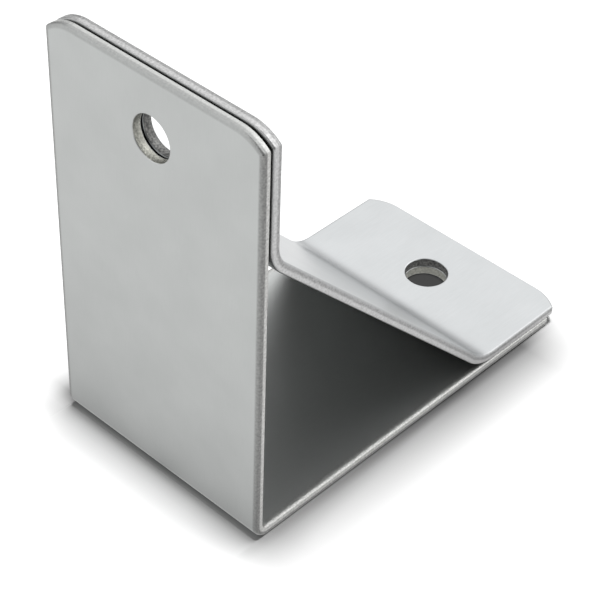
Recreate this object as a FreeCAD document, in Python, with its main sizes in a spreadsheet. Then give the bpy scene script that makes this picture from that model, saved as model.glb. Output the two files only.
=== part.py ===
"""Braced angle bracket: an outer right angle and an inner brace, each folded from one strip.

Millimetres. +Z is up and the base leg lies on Z = 0. X runs across the strips, and the upright
leg's outer face looks towards -Y. The origin is the bottom centre of the whole bracket.
"""
import FreeCAD, Part
import math
import os

import Sketcher

# Driving sizes: name, value and what it measures.
SIZES = [
    ("strip_width", 40.0, "width of both strips"),
    ("sheet_gauge", 1.6, "thickness of both sheets"),
    ("leg_height", 70.0, "height of the upright leg and of the brace behind it"),
    ("reach", 70.0, "depth from the leg's outer face to the lower tab's end"),
    ("base_setback", 1.2, "how far the base leg stops short of the lower tab's end"),
    ("angle_bend", 0.9, "inner radius of the angle's bend"),
    ("leg_gap", 0.3, "clearance between the upright leg and the brace's upper tab"),
    ("upper_tab", 19.9, "brace's top edge to the corner of its upper fold"),
    ("lower_tab", 19.6, "brace's lower end to the corner of its lower fold"),
    ("upper_bend", 5.0, "inner radius of the brace's upper bend"),
    ("lower_bend", 7.0, "inner radius of the brace's lower bend"),
    ("corner_inset", 5.0, "how far in from the strip's side each end corner's arc starts"),
    ("corner_drop", 1.9, "how far down the strip's side each end corner's arc reaches"),
    ("corner_nose", 0.6, "tumbled rounding where that arc meets the strip's side"),
    ("hole_size", 7.0, "diameter of all four holes, a free fit on a 6 mm bolt"),
    ("upper_hole_drop", 9.7, "top edge to the centre of the two upper holes"),
    ("lower_hole_inset", 10.0, "lower tab's end to the centre of the two lower holes"),
    ("edge_round", 0.4, "tumbled rounding of every sheared edge"),
]

# Rounding from both faces leaves at least a tenth of the sheet flat between them.
ROUNDED_SHARE = 0.45
# Two faces that turn by less than this, in radians, meet in a smooth edge.
SMOOTH_TURN = 0.05
# Two places nearer than this, in millimetres, are one place.
SAME_PLACE = 1e-4

# Sketcher's numbers for a line's two ends and an arc's centre, and for the axes and the origin.
START, END, CENTRE = range(1, 4)
LEVEL_AXIS, UPRIGHT_AXIS = range(-1, -3, -1)
ORIGIN = (LEVEL_AXIS, START)
# A dimension's value, in millimetres, until its formula sets it.
NOT_SET_YET = 1.0

doc = FreeCAD.newDocument("braced_angle_bracket")


def write_sheet():
    """Put every driving size in the spreadsheet, under its own name."""
    sheet = doc.addObject("Spreadsheet::Sheet", "sizes")
    for row, (name, value, meaning) in enumerate(SIZES, start=1):
        sheet.set(f"A{row}", name)
        sheet.set(f"B{row}", str(value))
        sheet.set(f"C{row}", meaning)
        sheet.setAlias(f"B{row}", name)
    doc.recompute()


def new_sketch(body, name, role):
    """Start a sketch on one of the body's own origin planes."""
    plane = next(feature for feature in body.Origin.OriginFeatures if feature.Role == role)
    sketch = body.newObject("Sketcher::SketchObject", f"{body.Name}_{name}")
    sketch.AttachmentSupport = (plane, [""])
    sketch.MapMode = "FlatFace"
    return sketch


def draw_outline(sketch, corners):
    """Join the corners, given as (Y, Z), by a closed loop of sides numbered from 0."""
    points = [FreeCAD.Vector(depth, height, 0) for depth, height in corners]
    for point, following in zip(points, points[1:] + points[:1]):
        sketch.addGeometry(Part.LineSegment(point, following), False)
    count = len(points)
    for side in range(count):
        following = (side + 1) % count
        sketch.addConstraint(Sketcher.Constraint("Coincident", side, END, following, START))


def hold(sketch, kind, *sides):
    """Keep each of these sides Horizontal or Vertical."""
    for side in sides:
        sketch.addConstraint(Sketcher.Constraint(kind, side))


def dimension(sketch, name, formula, kind, *places):
    """Add a named dimension that follows a formula of the sheet's sizes.

    It is added as a list of one, which leaves the outline as drawn until the next recompute.
    """
    (index,) = sketch.addConstraint([Sketcher.Constraint(kind, *places, NOT_SET_YET)])
    sketch.renameConstraint(index, name)
    sketch.setExpression(f"Constraints.{name}", formula)


def size(name):
    """The value of one driving size, read from the sheet."""
    return float(doc.sizes.get(name))


def pad_strip(body, sketch):
    """Give a folded outline the strip's width, half of it to each side of the middle."""
    pad = body.newObject("PartDesign::Pad", f"{body.Name}_strip")
    pad.Profile = sketch
    pad.SideType = "Symmetric"
    pad.setExpression("Length", "sizes.strip_width")
    doc.recompute()
    return pad


def edges_at(shape, places):
    """Names of the edges whose middles lie at the given places."""
    return [
        f"Edge{number}"
        for place in places
        for number, edge in enumerate(shape.Edges, start=1)
        if edge.CenterOfMass.distanceToPoint(place) < SAME_PLACE
    ]


def round_edges(body, name, base, edges, formula):
    """Round the named edges of a feature by a formula of the sheet's sizes."""
    fillet = body.newObject("PartDesign::Fillet", f"{body.Name}_{name}")
    fillet.Base = (base, edges)
    fillet.setExpression("Radius", formula)
    doc.recompute()
    return fillet


def bend(body, name, base, sketch, inner_side, outer_side, radius):
    """Bend one fold: its inner corner by the radius, its outer one by the gauge more.

    The two corners are where the given sides of the outline start.
    """
    inner = FreeCAD.Vector(0, *sketch.getPoint(inner_side, START)[:2])
    outer = FreeCAD.Vector(0, *sketch.getPoint(outer_side, START)[:2])
    inner_edges = edges_at(base.Shape, [inner])
    inside = round_edges(body, f"{name}_inside", base, inner_edges, radius)
    outer_edges = edges_at(inside.Shape, [outer])
    return round_edges(body, f"{name}_outside", inside, outer_edges, f"{radius} + sizes.sheet_gauge")


def cut_through(body, name, sketch):
    """Cut a sketch's outline right through the strip, to both sides of the sketch."""
    solid_before = body.Shape.Volume
    pocket = body.newObject("PartDesign::Pocket", f"{body.Name}_{name}")
    pocket.Profile = sketch
    pocket.Type = "ThroughAll"
    pocket.SideType = "Symmetric"
    doc.recompute()
    if not pocket.Shape.Volume < solid_before:
        raise RuntimeError(f"{pocket.Name} cuts nothing")
    return pocket


def trim_end(body, name, role, end, guess):
    """Trim both corners of one end by an arc that leaves the end smoothly and meets the side.

    The end lies at a formula of the sheet's sizes, up the sketch, and the guess is its value.
    """
    sketch = new_sketch(body, f"{name}_corner", role)
    side, inset, drop = size("strip_width") / 2, size("corner_inset"), size("corner_drop")
    radius = (inset**2 + drop**2) / (2 * drop)
    centre = FreeCAD.Vector(side - inset, guess - radius, 0)
    circle = Part.Circle(centre, FreeCAD.Vector(0, 0, 1), radius)
    meets_side = math.atan2(radius - drop, inset)
    on_end = FreeCAD.Vector(side - inset, guess, 0)
    tip = FreeCAD.Vector(side, guess, 0)
    on_side = FreeCAD.Vector(side, guess - drop, 0)
    arc = sketch.addGeometry(Part.ArcOfCircle(circle, meets_side, math.pi / 2), False)
    end_line = sketch.addGeometry(Part.LineSegment(on_end, tip), False)
    side_line = sketch.addGeometry(Part.LineSegment(tip, on_side), False)
    loop = (arc, end_line, side_line)
    for piece, following in zip(loop, loop[1:] + loop[:1]):
        sketch.addConstraint(Sketcher.Constraint("Coincident", piece, END, following, START))
    hold(sketch, "Horizontal", end_line)
    hold(sketch, "Vertical", side_line)
    sketch.addConstraint(Sketcher.Constraint("Vertical", arc, CENTRE, arc, END))
    dimension(sketch, "side", "sizes.strip_width / 2", "DistanceX", *ORIGIN, end_line, END)
    dimension(sketch, "end", end, "DistanceY", *ORIGIN, end_line, END)
    dimension(sketch, "inset", "sizes.corner_inset", "DistanceX", end_line, START, end_line, END)
    dimension(sketch, "drop", "sizes.corner_drop", "DistanceY", side_line, END, side_line, START)
    doc.recompute()
    pocket = cut_through(body, f"{name}_corner_cut", sketch)
    mirror = body.newObject("PartDesign::Mirrored", f"{body.Name}_{name}_far_corner_cut")
    mirror.Originals = [pocket]
    mirror.MirrorPlane = (sketch, ["V_Axis"])
    body.Tip = mirror
    doc.recompute()
    return mirror


def trim_both_ends(body, level_end, level_guess):
    """Trim the strip's upper end and its level end, and blunt the four edges that this leaves."""
    trim_end(body, "upper_end", "XZ_Plane", "sizes.leg_height", size("leg_height"))
    trimmed = trim_end(body, "level_end", "XY_Plane", level_end, level_guess)
    side, drop = size("strip_width") / 2, size("corner_drop")
    noses = []
    for number, edge in enumerate(trimmed.Shape.Edges, start=1):
        x, y, z = edge.CenterOfMass
        on_side = abs(abs(x) - side) < SAME_PLACE
        through = edge.Length < size("sheet_gauge") + SAME_PLACE
        upper = abs(z - (size("leg_height") - drop)) < SAME_PLACE
        level = abs(y - (level_guess - drop)) < SAME_PLACE
        if on_side and through and (upper or level):
            noses.append(f"Edge{number}")
    return round_edges(body, "corner_noses", trimmed, noses, "sizes.corner_nose")


def cut_hole(body, name, role, place, guess):
    """Cut a round hole on the strip's middle line, at a formula of the sheet's sizes."""
    sketch = new_sketch(body, f"{name}_circle", role)
    centre = FreeCAD.Vector(0, guess, 0)
    rim = Part.Circle(centre, FreeCAD.Vector(0, 0, 1), size("hole_size") / 2)
    circle = sketch.addGeometry(rim, False)
    sketch.addConstraint(Sketcher.Constraint("PointOnObject", circle, CENTRE, UPRIGHT_AXIS))
    dimension(sketch, "place", place, "DistanceY", *ORIGIN, circle, CENTRE)
    dimension(sketch, "diameter", "sizes.hole_size", "Diameter", circle)
    doc.recompute()
    return cut_through(body, name, sketch)


def cut_both_holes(body):
    """Cut the upper hole through the upright sheet and the lower one through the level sheet."""
    height = "sizes.leg_height - sizes.upper_hole_drop"
    cut_hole(body, "upper_hole", "XZ_Plane", height, size("leg_height") - size("upper_hole_drop"))
    depth = "sizes.reach / 2 - sizes.lower_hole_inset"
    return cut_hole(body, "lower_hole", "XY_Plane", depth, size("reach") / 2 - size("lower_hole_inset"))


def turn_between(edge, faces):
    """Angle between two faces, in radians, at the middle of the edge that they share."""
    middle = edge.valueAt((edge.FirstParameter + edge.LastParameter) / 2)
    normals = [face.normalAt(*face.Surface.parameter(middle)) for face in faces]
    return normals[0].getAngle(normals[1])


def soften_sharp_edges(body, base):
    """Round every edge that shearing and punching left sharp."""
    shape = base.Shape
    sharp = []
    for number, edge in enumerate(shape.Edges, start=1):
        faces = shape.ancestorsOfType(edge, Part.Face)
        if len(faces) == 2 and turn_between(edge, faces) > SMOOTH_TURN:
            sharp.append(f"Edge{number}")
    limit = f"min(sizes.edge_round; {ROUNDED_SHARE} * sizes.sheet_gauge)"
    return round_edges(body, "sheared_edges", base, sharp, limit)


def make_outer_angle():
    """The outer angle: an upright leg and a base leg, one strip with one right-angle bend."""
    body = doc.addObject("PartDesign::Body", "outer_angle")
    body.Label = "outer_angle"
    sketch = new_sketch(body, "outline", "YZ_Plane")
    front, back = -size("reach") / 2, size("reach") / 2 - size("base_setback")
    top, gauge = size("leg_height"), size("sheet_gauge")
    corners = [
        (front, 0),
        (back, 0),
        (back, gauge),
        (front + gauge, gauge),
        (front + gauge, top),
        (front, top),
    ]
    draw_outline(sketch, corners)
    underside, base_end, floor_face, inner_face, leg_top, outer_face = range(6)
    hold(sketch, "Horizontal", underside, floor_face, leg_top)
    hold(sketch, "Vertical", base_end, inner_face, outer_face)
    sketch.addConstraint(Sketcher.Constraint("PointOnObject", underside, START, LEVEL_AXIS))
    dimension(sketch, "front", "sizes.reach / 2", "DistanceX", underside, START, *ORIGIN)
    back_formula = "sizes.reach / 2 - sizes.base_setback"
    dimension(sketch, "back", back_formula, "DistanceX", *ORIGIN, underside, END)
    dimension(sketch, "base_gauge", "sizes.sheet_gauge", "DistanceY", base_end, START, base_end, END)
    dimension(sketch, "leg_gauge", "sizes.sheet_gauge", "DistanceX", leg_top, END, leg_top, START)
    dimension(sketch, "height", "sizes.leg_height", "DistanceY", outer_face, END, outer_face, START)
    doc.recompute()
    strip = pad_strip(body, sketch)
    bend(body, "bend", strip, sketch, inner_face, underside, "sizes.angle_bend")
    trim_both_ends(body, back_formula, back)
    drilled = cut_both_holes(body)
    soften_sharp_edges(body, drilled)
    return body


def make_inner_brace():
    """The inner brace: an upper tab, a slope and a lower tab, one strip with two bends."""
    body = doc.addObject("PartDesign::Body", "inner_brace")
    body.Label = "inner_brace"
    sketch = new_sketch(body, "outline", "YZ_Plane")
    gauge = size("sheet_gauge")
    front = gauge + size("leg_gap") - size("reach") / 2
    end, top = size("reach") / 2, size("leg_height")
    upper_fold = (front + gauge, top - size("upper_tab"))
    lower_fold = (end - size("lower_tab"), 2 * gauge)
    corners = [
        (front, top),
        (front, upper_fold[1] - gauge / 2),
        (lower_fold[0] - gauge / 2, gauge),
        (end, gauge),
        (end, 2 * gauge),
        lower_fold,
        upper_fold,
        (front + gauge, top),
    ]
    draw_outline(sketch, corners)
    front_face, underside, seat, tab_end, tab_face, slope, back_face, tab_top = range(8)
    hold(sketch, "Vertical", front_face, tab_end, back_face)
    hold(sketch, "Horizontal", seat, tab_face, tab_top)
    sketch.addConstraint(Sketcher.Constraint("Parallel", underside, slope))
    front_formula = "sizes.reach / 2 - sizes.sheet_gauge - sizes.leg_gap"
    dimension(sketch, "front", front_formula, "DistanceX", front_face, START, *ORIGIN)
    dimension(sketch, "top", "sizes.leg_height", "DistanceY", *ORIGIN, front_face, START)
    dimension(sketch, "end", "sizes.reach / 2", "DistanceX", *ORIGIN, tab_end, START)
    dimension(sketch, "seat", "sizes.sheet_gauge", "DistanceY", *ORIGIN, seat, START)
    dimension(sketch, "tab_gauge", "sizes.sheet_gauge", "DistanceX", tab_top, END, tab_top, START)
    dimension(sketch, "end_gauge", "sizes.sheet_gauge", "DistanceY", tab_end, START, tab_end, END)
    dimension(sketch, "slope_gauge", "sizes.sheet_gauge", "Distance", underside, START, slope)
    dimension(sketch, "upper_tab", "sizes.upper_tab", "DistanceY", back_face, START, back_face, END)
    dimension(sketch, "lower_tab", "sizes.lower_tab", "DistanceX", tab_face, END, tab_face, START)
    doc.recompute()
    strip = pad_strip(body, sketch)
    upper = bend(body, "upper_bend", strip, sketch, back_face, underside, "sizes.upper_bend")
    bend(body, "lower_bend", upper, sketch, slope, seat, "sizes.lower_bend")
    trim_both_ends(body, "sizes.reach / 2", end)
    drilled = cut_both_holes(body)
    soften_sharp_edges(body, drilled)
    return body


def check(parts):
    """Stop if any object failed, or if a part isn't one whole, valid solid."""
    for feature in doc.Objects:
        if {"Invalid", "Error"} & set(feature.State):
            raise RuntimeError(f"{feature.Name} failed: {feature.State}")
    for part in parts:
        shape = part.Shape
        if shape.isNull() or not shape.isValid() or len(shape.Solids) != 1:
            raise RuntimeError(f"{part.Label} isn't one valid solid")


write_sheet()
parts = [make_outer_angle(), make_inner_brace()]
doc.recompute()
check(parts)
os.makedirs("parts", exist_ok=True)
for part in parts:
    part.Shape.exportStep(os.path.join("parts", f"{part.Label}.step"))
    box = part.Shape.optimalBoundingBox()
    print(part.Label, "volume", round(part.Shape.Volume, 1), "box", box)
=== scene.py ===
"""The braced angle bracket: two folded sheets of satin stainless steel on a white table."""
import math

import bmesh
import bpy
import numpy as np
from mathutils import Matrix, Vector


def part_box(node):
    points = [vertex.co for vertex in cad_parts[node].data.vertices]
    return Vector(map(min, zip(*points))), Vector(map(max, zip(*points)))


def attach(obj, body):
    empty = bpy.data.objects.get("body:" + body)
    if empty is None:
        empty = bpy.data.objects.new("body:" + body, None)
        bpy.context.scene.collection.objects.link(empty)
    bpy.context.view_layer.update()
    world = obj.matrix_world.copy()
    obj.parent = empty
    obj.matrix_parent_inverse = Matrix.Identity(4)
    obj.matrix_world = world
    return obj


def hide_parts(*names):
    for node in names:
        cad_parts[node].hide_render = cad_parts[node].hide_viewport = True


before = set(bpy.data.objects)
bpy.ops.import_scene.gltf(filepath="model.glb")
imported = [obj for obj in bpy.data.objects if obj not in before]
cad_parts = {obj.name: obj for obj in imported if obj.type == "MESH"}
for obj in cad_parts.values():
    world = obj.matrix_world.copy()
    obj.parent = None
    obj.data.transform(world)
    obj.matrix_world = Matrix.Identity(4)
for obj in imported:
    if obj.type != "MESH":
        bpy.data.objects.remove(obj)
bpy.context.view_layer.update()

# Outer angle
# The real piece is a strip of 1.6 mm stainless sheet: sheared to length with its ends' corners
# rounded, punched for two bolts, tumbled so that no edge is sharp, and folded once on a brake.
# It carries the bolts of both legs, and the brace sits inside its fold.
MM = 0.001
GAUGE = 1.6 * MM
ANGLE_BEND = 0.9 * MM
HOLE_RADIUS = 3.5 * MM
UPPER_HOLE_DROP = 9.7 * MM
# The lower holes are placed from the brace's end, and the angle stops short of it.
LOWER_HOLE_INSET = 10.0 * MM
BASE_SETBACK = 1.2 * MM
# A corner's trim runs this far along the end and down the side, and ends in a small nose.
CORNER_INSET = 5.0 * MM
CORNER_DROP = 1.9 * MM
CORNER_NOSE = 0.6 * MM
# Each rounding's reach across the face and its depth into the sheet.
ROLLED_EDGE = (0.5 * MM, 0.4 * MM)
TORN_EDGE = (1.0 * MM, 0.34 * MM)
HOLE_EDGE = (0.2 * MM, 0.2 * MM)
# The angle's roundings, and a band of the face beside them, start partly in the edge's darker tone.
# Its ends are half polished back to the face's finish, and its holes keep the face's finish part
# of the way round.
EDGE_TONE_BAND = 0.3 * MM
ANGLE_EDGE_START = 0.65
ANGLE_POLISH = 0.5
HOLE_EDGE_START = -1.5
HOLE_POLISH = 0.0

# Facets of a rounding, of a corner's arc and nose, of a hole and of a fold.
ROUND_STEPS = 5
CORNER_STEPS = 10
NOSE_STEPS = 6
HOLE_STEPS = 72
FOLD_ROWS = 18
# Two vertices nearer than this are one.
SAME_PLACE = 1e-7


def arc_points(centre, radius, start, turn, steps):
    """Points round an arc of the blank, each with the direction that leaves the arc's centre."""
    points = []
    for step in range(steps + 1):
        angle = start + turn * step / steps
        out = Vector((math.cos(angle), math.sin(angle)))
        points.append((Vector(centre) + out * radius, out))
    return points


def strip_outline(width, length):
    """The blank's sheared outline, from 0 to its length.

    Each corner is trimmed by an arc that leaves the end smoothly and meets the side in a nose. A
    place on the outline has its point, the way out and, on a nose, the way its mitre points.
    """
    radius = (CORNER_INSET**2 + CORNER_DROP**2) / (2 * CORNER_DROP)
    nose_across = CORNER_INSET - CORNER_NOSE
    nose_along = math.sqrt((radius - CORNER_NOSE) ** 2 - nose_across**2)
    meet = math.atan2(nose_along, nose_across)
    arc_centre = Vector((width / 2 - CORNER_INSET, length / 2 - radius))
    nose_centre = arc_centre + Vector((nose_across, nose_along))
    nose = arc_points(nose_centre, CORNER_NOSE, 0, meet, NOSE_STEPS)
    first, last = nose[0][1], nose[-1][1]
    mitre = (first + last) / (1 + first.dot(last))
    corner = [(point, out, mitre) for point, out in nose]
    end = arc_points(arc_centre, radius, meet, math.pi / 2 - meet, CORNER_STEPS)[1:]
    corner += [(point, out, Vector((0, 0))) for point, out in end]
    outline = []
    for across, along in ((1, 1), (-1, 1), (-1, -1), (1, -1)):
        hand = Vector((across, along))
        middle = Vector((0, length / 2))
        turned = [(point * hand + middle, out * hand, mitre * hand) for point, out, mitre in corner]
        outline += turned if across == along else turned[::-1]
    return outline


def hole_outline(along):
    """A punched hole on the strip's middle line. Its free side points to the hole's centre."""
    rim = arc_points((0, along), HOLE_RADIUS, 0, 2 * math.pi, HOLE_STEPS)[:-1]
    return [(point, -out, Vector((0, 0))) for point, out in reversed(rim)]


def cut_blank(rims):
    """A flat sheet inside the first rim's outline, with the others punched through it.

    A rim is an outline, its roundings on the upper and lower face, its edge start and its polish.
    The edge start is the share of the edge's finish that a face already has where the rounding
    starts, and below zero it keeps the face's finish for part of the rounding. Polish is how far an
    edge across the strip is brought back to the face's finish.
    """
    blank = bmesh.new()
    sheared = blank.verts.layers.float.new("sheared")
    punched = blank.verts.layers.float.new("punched")
    for outline, upper_edge, lower_edge, edge_start, polish in rims:
        rings = []
        for face_height, inward, (reach, deep) in ((GAUGE, 1, upper_edge), (0, -1, lower_edge)):
            profile = [(reach + EDGE_TONE_BAND, 0, 0)]
            for step in range(ROUND_STEPS + 1):
                lean = math.pi / 2 * step / ROUND_STEPS
                inset, drop = reach * (1 - math.sin(lean)), deep * (1 - math.cos(lean))
                share = edge_start + (1 - edge_start) * step / ROUND_STEPS
                profile.append((inset, drop, max(share, 0)))
            side = []
            for inset, drop, share in profile:
                ring = []
                for point, out, mitre in outline:
                    round_part = inset if mitre.length == 0 else min(inset, CORNER_NOSE)
                    moved = point - out * round_part - mitre * (inset - round_part)
                    vertex = blank.verts.new((*moved, face_height - inward * drop))
                    vertex[sheared] = share * (1 - polish * out.y**2)
                    vertex[punched] = float(outline is not rims[0][0])
                    ring.append(vertex)
                side.append(ring)
            rings += side if inward == 1 else side[::-1]
        count = len(outline)
        for upper, lower in zip(rings, rings[1:]):
            for near in range(count):
                far = (near + 1) % count
                blank.faces.new((upper[near], lower[near], lower[far], upper[far]))
    bmesh.ops.remove_doubles(blank, verts=blank.verts, dist=SAME_PLACE)
    for height in (GAUGE, 0):
        open_edges = [
            edge for edge in blank.edges
            if edge.is_boundary and abs(edge.verts[0].co.z - height) < SAME_PLACE
        ]
        bmesh.ops.triangle_fill(blank, use_beauty=True, use_dissolve=False, edges=open_edges)
    return blank


def fold_path(corners, radii):
    """The sheet's middle line from its top end, as distance, depth, height and heading.

    The corners are (depth, height) points that the straight stretches would meet in. Heading is
    0 where the line runs straight down and a quarter turn where it runs level towards the back.
    """
    corners = [Vector(corner) for corner in corners]
    legs = [end - start for start, end in zip(corners, corners[1:])]
    headings = [math.atan2(leg.x, -leg.y) for leg in legs]
    marks, bends = [(0.0, corners[0], headings[0])], []
    distance, point = 0.0, corners[0]
    for leg, corner, heading, following, radius in zip(
        legs, corners[1:], headings, headings[1:], radii
    ):
        turn, middle_radius = following - heading, radius + GAUGE / 2
        tangent = middle_radius * math.tan(turn / 2)
        start = corner - leg.normalized() * tangent
        distance += (start - point).length
        begin = distance
        inside = Vector((math.cos(heading), math.sin(heading)))
        centre = start + inside * middle_radius
        for row in range(FOLD_ROWS + 1):
            angle = heading + turn * row / FOLD_ROWS
            out = -Vector((math.cos(angle), math.sin(angle)))
            point = centre + out * middle_radius
            marks.append((begin + middle_radius * turn * row / FOLD_ROWS, point, angle))
        distance = marks[-1][0]
        bends.append((begin, distance))
    marks.append((distance + (corners[-1] - point).length, corners[-1], headings[-1]))
    path = np.array([(s, p.x, p.y, a) for s, p, a in marks])
    return path, bends


def folded_sheet(name, width, corners, radii, hole_places, torn_side, edges, edge_start, polish):
    """Cuts, punches and folds one strip, and returns it as an object.

    The torn side is 1 where the shears broke out on the fold's inner face and 0 on its outer face.
    A hole's place is its distance from the top end or, below zero, from the lower end.
    """
    path, bends = fold_path(corners, radii)
    length = path[-1, 0]
    rims = [(strip_outline(width, length), *edges, edge_start, polish)]
    for place in hole_places:
        centre = place if place > 0 else length + place
        rims.append((hole_outline(centre), HOLE_EDGE, HOLE_EDGE, HOLE_EDGE_START, HOLE_POLISH))
    blank = cut_blank(rims)
    for begin, end in bends:
        for row in range(FOLD_ROWS + 1):
            cut = begin + (end - begin) * row / FOLD_ROWS
            everything = blank.verts[:] + blank.edges[:] + blank.faces[:]
            bmesh.ops.bisect_plane(
                blank, geom=everything, dist=SAME_PLACE, plane_co=(0, cut, 0), plane_no=(0, 1, 0)
            )
    bmesh.ops.recalc_face_normals(blank, faces=blank.faces)
    mesh = bpy.data.meshes.new(name)
    blank.to_mesh(mesh)
    blank.free()

    flat = np.empty(len(mesh.vertices) * 3, np.float32)
    mesh.vertices.foreach_get("co", flat)
    across, along, height = flat.reshape(-1, 3).T.astype(float)
    place = mesh.attributes.new("blank_place", "FLOAT_VECTOR", "POINT")
    place.data.foreach_set("vector", flat)
    through = height / GAUGE if torn_side else 1 - height / GAUGE
    depth_share = mesh.attributes.new("through", "FLOAT", "POINT")
    depth_share.data.foreach_set("value", through.astype(np.float32))
    unrolled = mesh.uv_layers.new(name="unrolled")
    corner_vertices = np.empty(len(mesh.loops), np.int32)
    mesh.loops.foreach_get("vertex_index", corner_vertices)
    unrolled.data.foreach_set("uv", (np.c_[across, along][corner_vertices] / length).ravel())

    distances, *followed = path.T
    depth, up, heading = (np.interp(along, distances, column) for column in followed)
    above = height - GAUGE / 2
    folded = np.c_[across, depth + np.cos(heading) * above, up + np.sin(heading) * above]
    mesh.vertices.foreach_set("co", folded.astype(np.float32).ravel())
    mesh.shade_smooth()
    mesh.update()
    sheet = bpy.data.objects.new(name, mesh)
    bpy.context.scene.collection.objects.link(sheet)
    even = sheet.modifiers.new("even_shading", "WEIGHTED_NORMAL")
    even.mode = "FACE_AREA"
    return sheet


def colour(hex_code):
    """An sRGB hex colour as linear red, green, blue and alpha, by the sRGB standard's own curve."""
    shares = [int(hex_code[at : at + 2], 16) / 255 for at in (1, 3, 5)]
    return [s / 12.92 if s <= 0.04045 else ((s + 0.055) / 1.055) ** 2.4 for s in shares] + [1]


def add_node(tree, kind, settings=None, links=None):
    """Adds a node, sets its properties and inputs, and links sockets into its inputs.

    An input is named by its identifier, which no other input of the node shares.
    """
    node = tree.nodes.new(kind)
    inputs = {socket.identifier: socket for socket in node.inputs}
    for key, value in (settings or {}).items():
        if key in inputs:
            inputs[key].default_value = value
        else:
            setattr(node, key, value)
    for key, socket in (links or {}).items():
        tree.links.new(socket, inputs[key])
    return node


# Cold-rolled stainless steel with a satin finish: a soft even sheen with faint clouds. The sheared
# edges are duller and mottled by the tumbling, and the torn part of the cut is the lightest.
# Real satin grain is a few hundredths of a millimetre wide, too fine to show, so this is coarser.
GRAIN_WIDTH = 0.12 * MM
GRAIN_LENGTH = 3.0 * MM
GRAIN_DETAIL = 2.0
CLOUD_SIZE = 9.0 * MM
CLOUD_DETAIL = 3.0
CLOUD_SHARE = 0.5
MOTTLE_SIZE = 0.35 * MM
MOTTLE_DETAIL = 3.0
MOTTLE_HEIGHT = 0.03 * MM
# The noise runs from a finish's dark tone to its light one between these two values.
NOISE_DARK = 0.3
NOISE_LIGHT = 0.7
# The cut turns from smooth to torn between these shares of the sheet's thickness.
TORN_FROM = 0.38
TORN_TO = 0.56
EDGE_ROUGHNESS = (0.5, 0.36)


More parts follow.
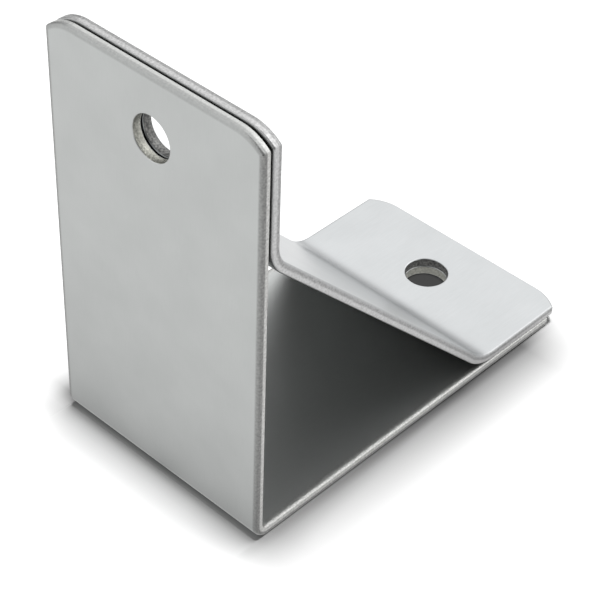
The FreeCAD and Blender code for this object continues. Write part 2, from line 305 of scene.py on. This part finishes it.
def satin_stainless(
    name, face_roughness, edge_tint, face_tones, back_tone, edge_tones, torn_tones, wall_tones
):
    """Satin stainless sheet, each of whose finishes varies between a dark and a light tone.

    The face is the skin that the shears cut cleanly and the back is the skin on the torn side. A
    sheared edge has an edge tone and a torn one, and a punched hole has a wall tone. A back or wall
    tone can also carry painted shade. The edge tint colours what the metal mirrors at a low angle.
    """
    material = bpy.data.materials.new(name)
    material.use_nodes = True
    tree = material.node_tree
    tree.nodes.clear()
    place = add_node(tree, "ShaderNodeAttribute", {"attribute_name": "blank_place"})
    sheared = add_node(tree, "ShaderNodeAttribute", {"attribute_name": "sheared"})
    through = add_node(tree, "ShaderNodeAttribute", {"attribute_name": "through"})
    punched = add_node(tree, "ShaderNodeAttribute", {"attribute_name": "punched"})

    patterns = {}
    for pattern, lump, detail in (
        ("grain", (GRAIN_WIDTH, GRAIN_LENGTH, GRAIN_WIDTH), GRAIN_DETAIL),
        ("cloud", (CLOUD_SIZE, CLOUD_SIZE, CLOUD_SIZE), CLOUD_DETAIL),
        ("mottle", (MOTTLE_SIZE, MOTTLE_SIZE, MOTTLE_SIZE), MOTTLE_DETAIL),
    ):
        stretched = add_node(
            tree,
            "ShaderNodeVectorMath",
            {"operation": "DIVIDE", "Vector_001": lump},
            {"Vector": place.outputs["Vector"]},
        )
        noise = add_node(
            tree,
            "ShaderNodeTexNoise",
            {"Scale": 1.0, "Detail": detail},
            {"Vector": stretched.outputs["Vector"]},
        )
        spread = add_node(
            tree,
            "ShaderNodeMapRange",
            {"From Min": NOISE_DARK, "From Max": NOISE_LIGHT},
            {"Value": noise.outputs["Fac"]},
        )
        patterns[pattern] = spread.outputs["Result"]
    patterns["satin"] = add_node(
        tree,
        "ShaderNodeMix",
        {"data_type": "FLOAT", "Factor_Float": CLOUD_SHARE},
        {"A_Float": patterns["grain"], "B_Float": patterns["cloud"]},
    ).outputs["Result"]

    torn = add_node(
        tree,
        "ShaderNodeMapRange",
        {"interpolation_type": "SMOOTHSTEP", "From Min": TORN_FROM, "From Max": TORN_TO},
        {"Value": through.outputs["Fac"]},
    )
    tones = {}
    for finish, pattern, (dark, light) in (
        ("face", "satin", face_tones),
        ("edge", "mottle", edge_tones),
        ("torn", "mottle", torn_tones),
        ("wall", "mottle", wall_tones),
    ):
        tones[finish] = add_node(
            tree,
            "ShaderNodeMix",
            {"data_type": "RGBA", "A_Color": colour(dark), "B_Color": colour(light)},
            {"Factor_Float": patterns[pattern]},
        )
    skin_tone = add_node(
        tree,
        "ShaderNodeMix",
        {"data_type": "RGBA", "B_Color": colour(back_tone)},
        {"Factor_Float": through.outputs["Fac"], "A_Color": tones["face"].outputs["Result"]},
    )
    cut_tone = add_node(
        tree,
        "ShaderNodeMix",
        {"data_type": "RGBA"},
        {
            "Factor_Float": torn.outputs["Result"],
            "A_Color": tones["edge"].outputs["Result"],
            "B_Color": tones["torn"].outputs["Result"],
        },
    )
    rim_tone = add_node(
        tree,
        "ShaderNodeMix",
        {"data_type": "RGBA"},
        {
            "Factor_Float": punched.outputs["Fac"],
            "A_Color": cut_tone.outputs["Result"],
            "B_Color": tones["wall"].outputs["Result"],
        },
    )
    tone = add_node(
        tree,
        "ShaderNodeMix",
        {"data_type": "RGBA"},
        {
            "Factor_Float": sheared.outputs["Fac"],
            "A_Color": skin_tone.outputs["Result"],
            "B_Color": rim_tone.outputs["Result"],
        },
    )
    gloss = {}
    for finish, pattern, (smooth, rough) in (
        ("face", "grain", face_roughness),
        ("edge", "mottle", EDGE_ROUGHNESS),
    ):
        gloss[finish] = add_node(
            tree,
            "ShaderNodeMapRange",
            {"To Min": smooth, "To Max": rough},
            {"Value": patterns[pattern]},
        )
    roughness = add_node(
        tree,
        "ShaderNodeMix",
        {"data_type": "FLOAT"},
        {
            "Factor_Float": sheared.outputs["Fac"],
            "A_Float": gloss["face"].outputs["Result"],
            "B_Float": gloss["edge"].outputs["Result"],
        },
    )
    relief = add_node(
        tree,
        "ShaderNodeMath",
        {"operation": "MULTIPLY"},
        {"Value": sheared.outputs["Fac"], "Value_001": patterns["mottle"]},
    )
    bump = add_node(
        tree,
        "ShaderNodeBump",
        {"Distance": MOTTLE_HEIGHT},
        {"Height": relief.outputs["Value"]},
    )
    shader = add_node(
        tree,
        "ShaderNodeBsdfPrincipled",
        {"Metallic": 1.0, "Specular Tint": colour(edge_tint)},
        {
            "Base Color": tone.outputs["Result"],
            "Roughness": roughness.outputs["Result"],
            "Normal": bump.outputs["Normal"],
        },
    )
    add_node(tree, "ShaderNodeOutputMaterial", links={"Surface": shader.outputs["BSDF"]})
    return material


angle_low, angle_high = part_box("outer_angle")
strip_width = angle_high.x - angle_low.x
angle_line = [
    (angle_low.y + GAUGE / 2, angle_high.z),
    (angle_low.y + GAUGE / 2, GAUGE / 2),
    (angle_high.y, GAUGE / 2),
]
outer_angle = folded_sheet(
    "outer_angle_sheet",
    strip_width,
    angle_line,
    [ANGLE_BEND],
    [UPPER_HOLE_DROP, BASE_SETBACK - LOWER_HOLE_INSET],
    torn_side=1,
    edges=(TORN_EDGE, ROLLED_EDGE),
    edge_start=ANGLE_EDGE_START,
    polish=ANGLE_POLISH,
)
outer_angle.data.materials.append(
    satin_stainless(
        "satin_stainless_angle",
        face_roughness=(0.4, 0.48),
        edge_tint="#FFFFFF",
        face_tones=("#A9ABAA", "#B3B5B4"),
        back_tone="#B9BBBA",
        edge_tones=("#686868", "#828280"),
        torn_tones=("#A0A09E", "#BEBEBC"),
        wall_tones=("#8A8A84", "#ACACA4"),
    )
)
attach(outer_angle, "root")
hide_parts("outer_angle")

# Inner brace
# The real piece is a second strip of the same sheet, folded twice by an eighth of a turn. Its
# tabs lie against the two legs and share their bolts, and its slope closes the triangle.
UPPER_BEND = 5.0 * MM
LOWER_BEND = 7.0 * MM
UPPER_TAB = 19.9 * MM
LOWER_TAB = 19.6 * MM
BRACE_ROLLED_EDGE = (0.42 * MM, 0.42 * MM)
BRACE_TORN_EDGE = (0.5 * MM, 0.3 * MM)
# Its roundings start with the face's own finish, and its ends aren't polished.
BRACE_EDGE_START = 0.0
BRACE_POLISH = 0.0

brace_low, brace_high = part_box("inner_brace")
# The folds' corners are given on the upper face, and the middle line's corners lie half a gauge
# out from them, at the crossing of the two middle lines.
tab_depth, tab_height = brace_low.y + GAUGE / 2, brace_low.z + GAUGE / 2
upper_corner = Vector((brace_low.y + GAUGE, brace_high.z - UPPER_TAB))
lower_corner = Vector((brace_high.y - LOWER_TAB, brace_low.z + GAUGE))
slope = lower_corner - upper_corner
slope_out = Vector((slope.y, -slope.x)).normalized()
slope_line = upper_corner + slope_out * GAUGE / 2
upper_fold = Vector((tab_depth, slope_line.y + (tab_depth - slope_line.x) * slope.y / slope.x))
lower_fold = Vector((slope_line.x + (tab_height - slope_line.y) * slope.x / slope.y, tab_height))
inner_brace = folded_sheet(
    "inner_brace_sheet",
    strip_width,
    [(tab_depth, brace_high.z), upper_fold, lower_fold, (brace_high.y, tab_height)],
    [UPPER_BEND, LOWER_BEND],
    [UPPER_HOLE_DROP, -LOWER_HOLE_INSET],
    torn_side=0,
    edges=(BRACE_ROLLED_EDGE, BRACE_TORN_EDGE),
    edge_start=BRACE_EDGE_START,
    polish=BRACE_POLISH,
)
inner_brace.data.materials.append(
    satin_stainless(
        "satin_stainless_brace",
        face_roughness=(0.28, 0.34),
        edge_tint="#F2F2F2",
        face_tones=("#ABADAE", "#B5B7B8"),
        # Painted shade: the brace's back, the slope's underside that the bracket's inside mirrors,
        # is darker than its face.
        back_tone="#7C7E7E",
        edge_tones=("#828282", "#A0A0A0"),
        torn_tones=("#A4A4A4", "#BCBCBC"),
        # Painted shade: the brace's hole walls are much darker, as shade deep inside the holes.
        wall_tones=("#454545", "#7C7C7A"),
    )
)
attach(inner_brace, "root")
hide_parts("inner_brace")

# Table
# A sheet of white paper on a level table. A soft shade is painted into the paper's colour close
# beside and under the bracket, and the lamp's own shadow joins it.
TABLE_SIZE = 4.0
table_mesh = bpy.data.meshes.new("white_table")
half_table = TABLE_SIZE / 2
table_mesh.from_pydata(
    [
        (-half_table, -half_table, 0),
        (half_table, -half_table, 0),
        (half_table, half_table, 0),
        (-half_table, half_table, 0),
    ],
    [],
    [(0, 1, 2, 3)],
)
table = bpy.data.objects.new("white_table", table_mesh)
bpy.context.scene.collection.objects.link(table)

# How dark the shade is at places in mm, across the strips and along them. The first two lists
# hold beside the right edge and under the bracket, and more than full shade in them makes the
# lower holes' floor as dark as the shade gets.
SHADE_ACROSS = [
    (-20.1, 0.0), (-19.8, 0.9), (-19, 1.0), (-4.5, 1.0), (0, 1.5), (4.5, 1.0), (19, 1.0),
    (19.6, 0.91), (20.5, 0.91), (21, 0.86), (22, 0.71), (24, 0.56), (27, 0.35), (32, 0.0),
]
SHADE_ALONG = [
    (-40, 0.0), (-38, 0.25), (-37, 0.35), (-36, 0.43), (-35, 0.49), (-33, 0.56), (-31, 0.62),
    (-25, 0.68), (-5, 0.84), (10, 0.96), (25, 0.94), (29, 0.64), (33, 0.28), (35, 0.11), (37, 0.0),
]
DARKEST_SHADE = 0.945
# To the left the shade lies only beside the leg.
LEFT_ACROSS = [(-31, 0.0), (-26, 0.2), (-24, 0.38), (-22, 0.7), (-20.05, 0.9), (-19.85, 0.0)]
LEFT_ALONG = [
    (-40, 0.0), (-38, 0.2), (-37, 0.28), (-36, 0.35), (-35, 0.52), (-34, 0.75), (-33, 1.0),
    (-25, 0.9), (-10, 0.0),
]
# At the foot of the leg the shade turns light where the overhanging bend itself keeps the lamp off
# the paper. The last list is where this gives way to the shade under the bracket.
FOOT_ACROSS = [(-20.1, 0.0), (-19.85, 0.6), (-16, 1.0), (8, 1.0), (19.8, 0.45), (20.2, 0.0)]
FOOT_ALONG = [
    (-42, 0.0), (-41, 0.04), (-40, 0.07), (-38, 0.12), (-37, 0.19), (-36.4, 0.26), (-36, 0.34),
    (-35.6, 0.44), (-35.3, 0.53), (-35.1, 0.58), (-35, 0.56), (-34.9, 0.44), (-34.75, 0.29),
    (-34.6, 0.32), (-34.3, 0.5), (-34, 0.6), (-33.8, 0.8),
]
FOOT_ENDS = [(-33.5, 1.0), (-33.2, 0.0)]
# How much of the painted shade the metal mirrors, with less below the base's near edge, a wider
# painted dimness before the leg that only the metal shows, and how bright it mirrors the bare
# paper.
SHADE_MIRRORED = 0.5
MIRRORED_BY_EDGE = [(18.8, 1.0), (19.2, 0.3), (20.3, 0.3), (20.7, 1.0)]
DIM_BEFORE_LEG = [(-66, 0.0), (-52, 0.11), (-40, 0.25), (-36, 0.28), (-34, 0.0)]
PAPER_GLOW = 1.3
# A new stop of a ramp starts here, and then moves to its own place.
HALFWAY = 0.5

# Uncoated white paper, quite matt: it spreads the lamp's light evenly and shows no gloss, so only
# the soft shade varies its white.
paper = bpy.data.materials.new("white_paper")
paper.use_nodes = True
paper_nodes = paper.node_tree
paper_nodes.nodes.clear()
spot = add_node(paper_nodes, "ShaderNodeNewGeometry")
sides = add_node(paper_nodes, "ShaderNodeSeparateXYZ", links={"Vector": spot.outputs["Position"]})
darkness = {}
for part, axis, places in (
    ("across", "X", SHADE_ACROSS),
    ("along", "Y", SHADE_ALONG),
    ("left", "X", LEFT_ACROSS),
    ("beside", "Y", LEFT_ALONG),
    ("foot", "X", FOOT_ACROSS),
    ("foot_depth", "Y", FOOT_ALONG),
    ("foot_end", "Y", FOOT_ENDS),
    ("by_edge", "X", MIRRORED_BY_EDGE),
    ("before", "Y", DIM_BEFORE_LEG),
):
    first, last = places[0][0], places[-1][0]
    share = add_node(
        paper_nodes,
        "ShaderNodeMapRange",
        {"From Min": first * MM, "From Max": last * MM},
        {"Value": sides.outputs[axis]},
    )
    depth = add_node(paper_nodes, "ShaderNodeValToRGB", links={"Fac": share.outputs["Result"]})
    stops = depth.color_ramp.elements
    while len(stops) < len(places):
        stops.new(HALFWAY)
    for stop, (place, dark) in zip(stops, places):
        stop.position = (place - first) / (last - first)
        stop.color = (dark, dark, dark, 1)
    darkness[part] = depth.outputs["Color"]
right_shade = add_node(
    paper_nodes,
    "ShaderNodeMath",
    {"operation": "MULTIPLY"},
    {"Value": darkness["across"], "Value_001": darkness["along"]},
)
capped_shade = add_node(
    paper_nodes,
    "ShaderNodeMath",
    {"operation": "MINIMUM", "Value_001": DARKEST_SHADE},
    {"Value": right_shade.outputs["Value"]},
)
outside_shade = add_node(
    paper_nodes,
    "ShaderNodeMath",
    {"operation": "MULTIPLY_ADD"},
    {
        "Value": darkness["left"],
        "Value_001": darkness["beside"],
        "Value_002": capped_shade.outputs["Value"],
    },
)
at_foot = add_node(
    paper_nodes,
    "ShaderNodeMath",
    {"operation": "MULTIPLY"},
    {"Value": darkness["foot"], "Value_001": darkness["foot_end"]},
)
shade = add_node(
    paper_nodes,
    "ShaderNodeMix",
    {"data_type": "FLOAT"},
    {
        "Factor_Float": at_foot.outputs["Value"],
        "A_Float": outside_shade.outputs["Value"],
        "B_Float": darkness["foot_depth"],
    },
)
shade_by_edge = add_node(
    paper_nodes,
    "ShaderNodeMath",
    {"operation": "MULTIPLY"},
    {"Value": outside_shade.outputs["Value"], "Value_001": darkness["by_edge"]},
)
mirrored_shade = add_node(
    paper_nodes,
    "ShaderNodeMath",
    {"operation": "MULTIPLY_ADD", "Value_001": SHADE_MIRRORED},
    {"Value": shade_by_edge.outputs["Value"], "Value_002": darkness["before"]},
)
shaded = add_node(
    paper_nodes,
    "ShaderNodeMix",
    {"data_type": "RGBA", "A_Color": colour("#E8E8E8"), "B_Color": colour("#000000")},
    {"Factor_Float": shade.outputs["Result"]},
)
matt = add_node(
    paper_nodes,
    "ShaderNodeBsdfDiffuse",
    links={"Color": shaded.outputs["Result"]},
)
# In the metal's reflections the paper is a painted glow, not lamp-lit paper: an even glow dimmed by
# part of the painted shade, so it shows no dark line of the lamp's own shadow where it meets the
# table.
mirrored_strength = add_node(
    paper_nodes,
    "ShaderNodeMath",
    {"operation": "MULTIPLY_ADD", "Value_001": -PAPER_GLOW, "Value_002": PAPER_GLOW},
    {"Value": mirrored_shade.outputs["Value"]},
)
glowing = add_node(
    paper_nodes,
    "ShaderNodeEmission",
    {"Color": colour("#FFFFFF")},
    {"Strength": mirrored_strength.outputs["Value"]},
)
reached_by = add_node(paper_nodes, "ShaderNodeLightPath")
paper_surface = add_node(
    paper_nodes,
    "ShaderNodeMixShader",
    links={
        "Fac": reached_by.outputs["Is Glossy Ray"],
        "Shader": matt.outputs["BSDF"],
        "Shader_001": glowing.outputs["Emission"],
    },
)
add_node(
    paper_nodes,
    "ShaderNodeOutputMaterial",
    links={"Surface": paper_surface.outputs["Shader"]},
)
# The glow is only ever mirrored, so it doesn't count as a lamp.
paper.cycles.emission_sampling = "NONE"
table_mesh.materials.append(paper)

# Black card, seen only in reflections
# A studio's black card lies on the paper to the left, out of the camera's sight. It is seen only in
# the metal's reflections, as a painted dark reflection, so that the inside of the bracket has
# something dark to mirror.
CARD_LEFT = -60.0 * MM
CARD_RIGHT = -20.5 * MM
CARD_FRONT = -26.0 * MM
CARD_BACK = 14.0 * MM
CARD_HEIGHT = 0.2 * MM
card_mesh = bpy.data.meshes.new("dark_reflection_card")
card_mesh.from_pydata(
    [
        (CARD_LEFT, CARD_FRONT, CARD_HEIGHT),
        (CARD_RIGHT, CARD_FRONT, CARD_HEIGHT),
        (CARD_RIGHT, CARD_BACK, CARD_HEIGHT),
        (CARD_LEFT, CARD_BACK, CARD_HEIGHT),
    ],
    [],
    [(0, 1, 2, 3)],
)
card = bpy.data.objects.new("dark_reflection_card", card_mesh)
bpy.context.scene.collection.objects.link(card)
# Matt black paper, which gives back almost none of the light.
black = bpy.data.materials.new("dark_reflection_paper")
black.use_nodes = True
black.node_tree.nodes.clear()
dull = add_node(black.node_tree, "ShaderNodeBsdfDiffuse", {"Color": colour("#101010")})
add_node(
    black.node_tree,
    "ShaderNodeOutputMaterial",
    links={"Surface": dull.outputs["BSDF"]},
)
card_mesh.materials.append(black)
card.visible_camera = card.visible_diffuse = card.visible_shadow = False

# Light
# A white tent round the bracket, with three broad soft panels of light behind it, to its right
# and before it, which the metal mirrors. One soft lamp overhead lights the paper.

# The tent's strength: between its panels as the metal mirrors it, on the paper, and as the plain
# white behind the bracket.
TENT_DIM = 0.15
TENT_ON_TABLE = 0.3
TENT_BEHIND = 1.0
TENT_PANELS = [
    # Direction, cosines of the angle from it where the panel starts and is full, and strength.
    ((-0.25, 0.64, 0.72), 0.55, 0.93, 1.55),
    ((0.65, 0.56, 0.51), 0.6, 0.95, 1.4),
    ((-0.51, -0.65, 0.56), 0.5, 0.95, 1.4),
]
world = bpy.data.worlds.new("white_tent")
bpy.context.scene.world = world
world.use_nodes = True
tent = world.node_tree
tent.nodes.clear()
direction = add_node(tent, "ShaderNodeTexCoord")
glow = add_node(tent, "ShaderNodeValue").outputs["Value"]
glow.default_value = TENT_DIM
for towards, rim_cosine, full_cosine, power in TENT_PANELS:
    facing = add_node(
        tent,
        "ShaderNodeVectorMath",
        {"operation": "DOT_PRODUCT", "Vector_001": Vector(towards).normalized()},
        {"Vector": direction.outputs["Generated"]},
    )
    panel = add_node(
        tent,
        "ShaderNodeMapRange",
        {
            "interpolation_type": "SMOOTHSTEP",
            "From Min": rim_cosine,
            "From Max": full_cosine,
            "To Max": power,
        },
        {"Value": facing.outputs["Value"]},
    )
    glow = add_node(
        tent,
        "ShaderNodeMath",
        {"operation": "ADD"},
        {"Value": glow, "Value_001": panel.outputs["Result"]},
    ).outputs["Value"]
seen_by = add_node(tent, "ShaderNodeLightPath")
mirrored = add_node(
    tent,
    "ShaderNodeMix",
    {"data_type": "FLOAT", "A_Float": TENT_ON_TABLE},
    {"Factor_Float": seen_by.outputs["Is Glossy Ray"], "B_Float": glow},
)
strength = add_node(
    tent,
    "ShaderNodeMix",
    {"data_type": "FLOAT", "B_Float": TENT_BEHIND},
    {"Factor_Float": seen_by.outputs["Is Camera Ray"], "A_Float": mirrored.outputs["Result"]},
)
background = add_node(
    tent,
    "ShaderNodeBackground",
    {"Color": colour("#FFFFFF")},
    {"Strength": strength.outputs["Result"]},
)
add_node(tent, "ShaderNodeOutputWorld", links={"Surface": background.outputs["Background"]})

# The lamp hangs a little behind the bracket's middle. Its width is an angle seen from the table.
LAMP_FROM = Vector((0.0, 0.03, 1.0))
LAMP_STRENGTH = 4.1
LAMP_WIDTH = math.radians(14.0)
lamp_light = bpy.data.lights.new("overhead_lamp", "SUN")
lamp_light.energy = LAMP_STRENGTH
lamp_light.angle = LAMP_WIDTH
lamp = bpy.data.objects.new("overhead_lamp", lamp_light)
bpy.context.scene.collection.objects.link(lamp)
lamp.rotation_mode = "QUATERNION"
lamp.rotation_quaternion = LAMP_FROM.to_track_quat("Z", "Y")
lamp.visible_glossy = False

# Camera
# A camera on a stand looks down on the bracket's near front corner with a long lens. Its place
# was fitted to the bracket's own edges in the photograph.
AZIMUTH = math.radians(42.26)
ELEVATION = math.radians(40.54)
ROLL = math.radians(2.14)
DISTANCE = 288.6 * MM
AIM = Vector((3.289, -9.134, 19.722)) * MM
NEAREST_SEEN = 10.0 * MM
# Blender takes these two in millimetres.
SENSOR_WIDTH = 36.0
FOCAL_LENGTH = 117.2
camera_data = bpy.data.cameras.new("camera")
camera_data.sensor_width = SENSOR_WIDTH
camera_data.lens = FOCAL_LENGTH
camera_data.clip_start = NEAREST_SEEN
camera = bpy.data.objects.new("camera", camera_data)
bpy.context.scene.collection.objects.link(camera)
towards_camera = Vector(
    (
        math.sin(AZIMUTH) * math.cos(ELEVATION),
        -math.cos(AZIMUTH) * math.cos(ELEVATION),
        math.sin(ELEVATION),
    )
)
level = towards_camera.to_track_quat("Z", "Y").to_matrix().to_4x4()
rolled = level @ Matrix.Rotation(ROLL, 4, "Z")
camera.matrix_world = Matrix.Translation(AIM + towards_camera * DISTANCE) @ rolled
bpy.context.scene.camera = camera
bpy.context.scene.view_settings.view_transform = "Standard"
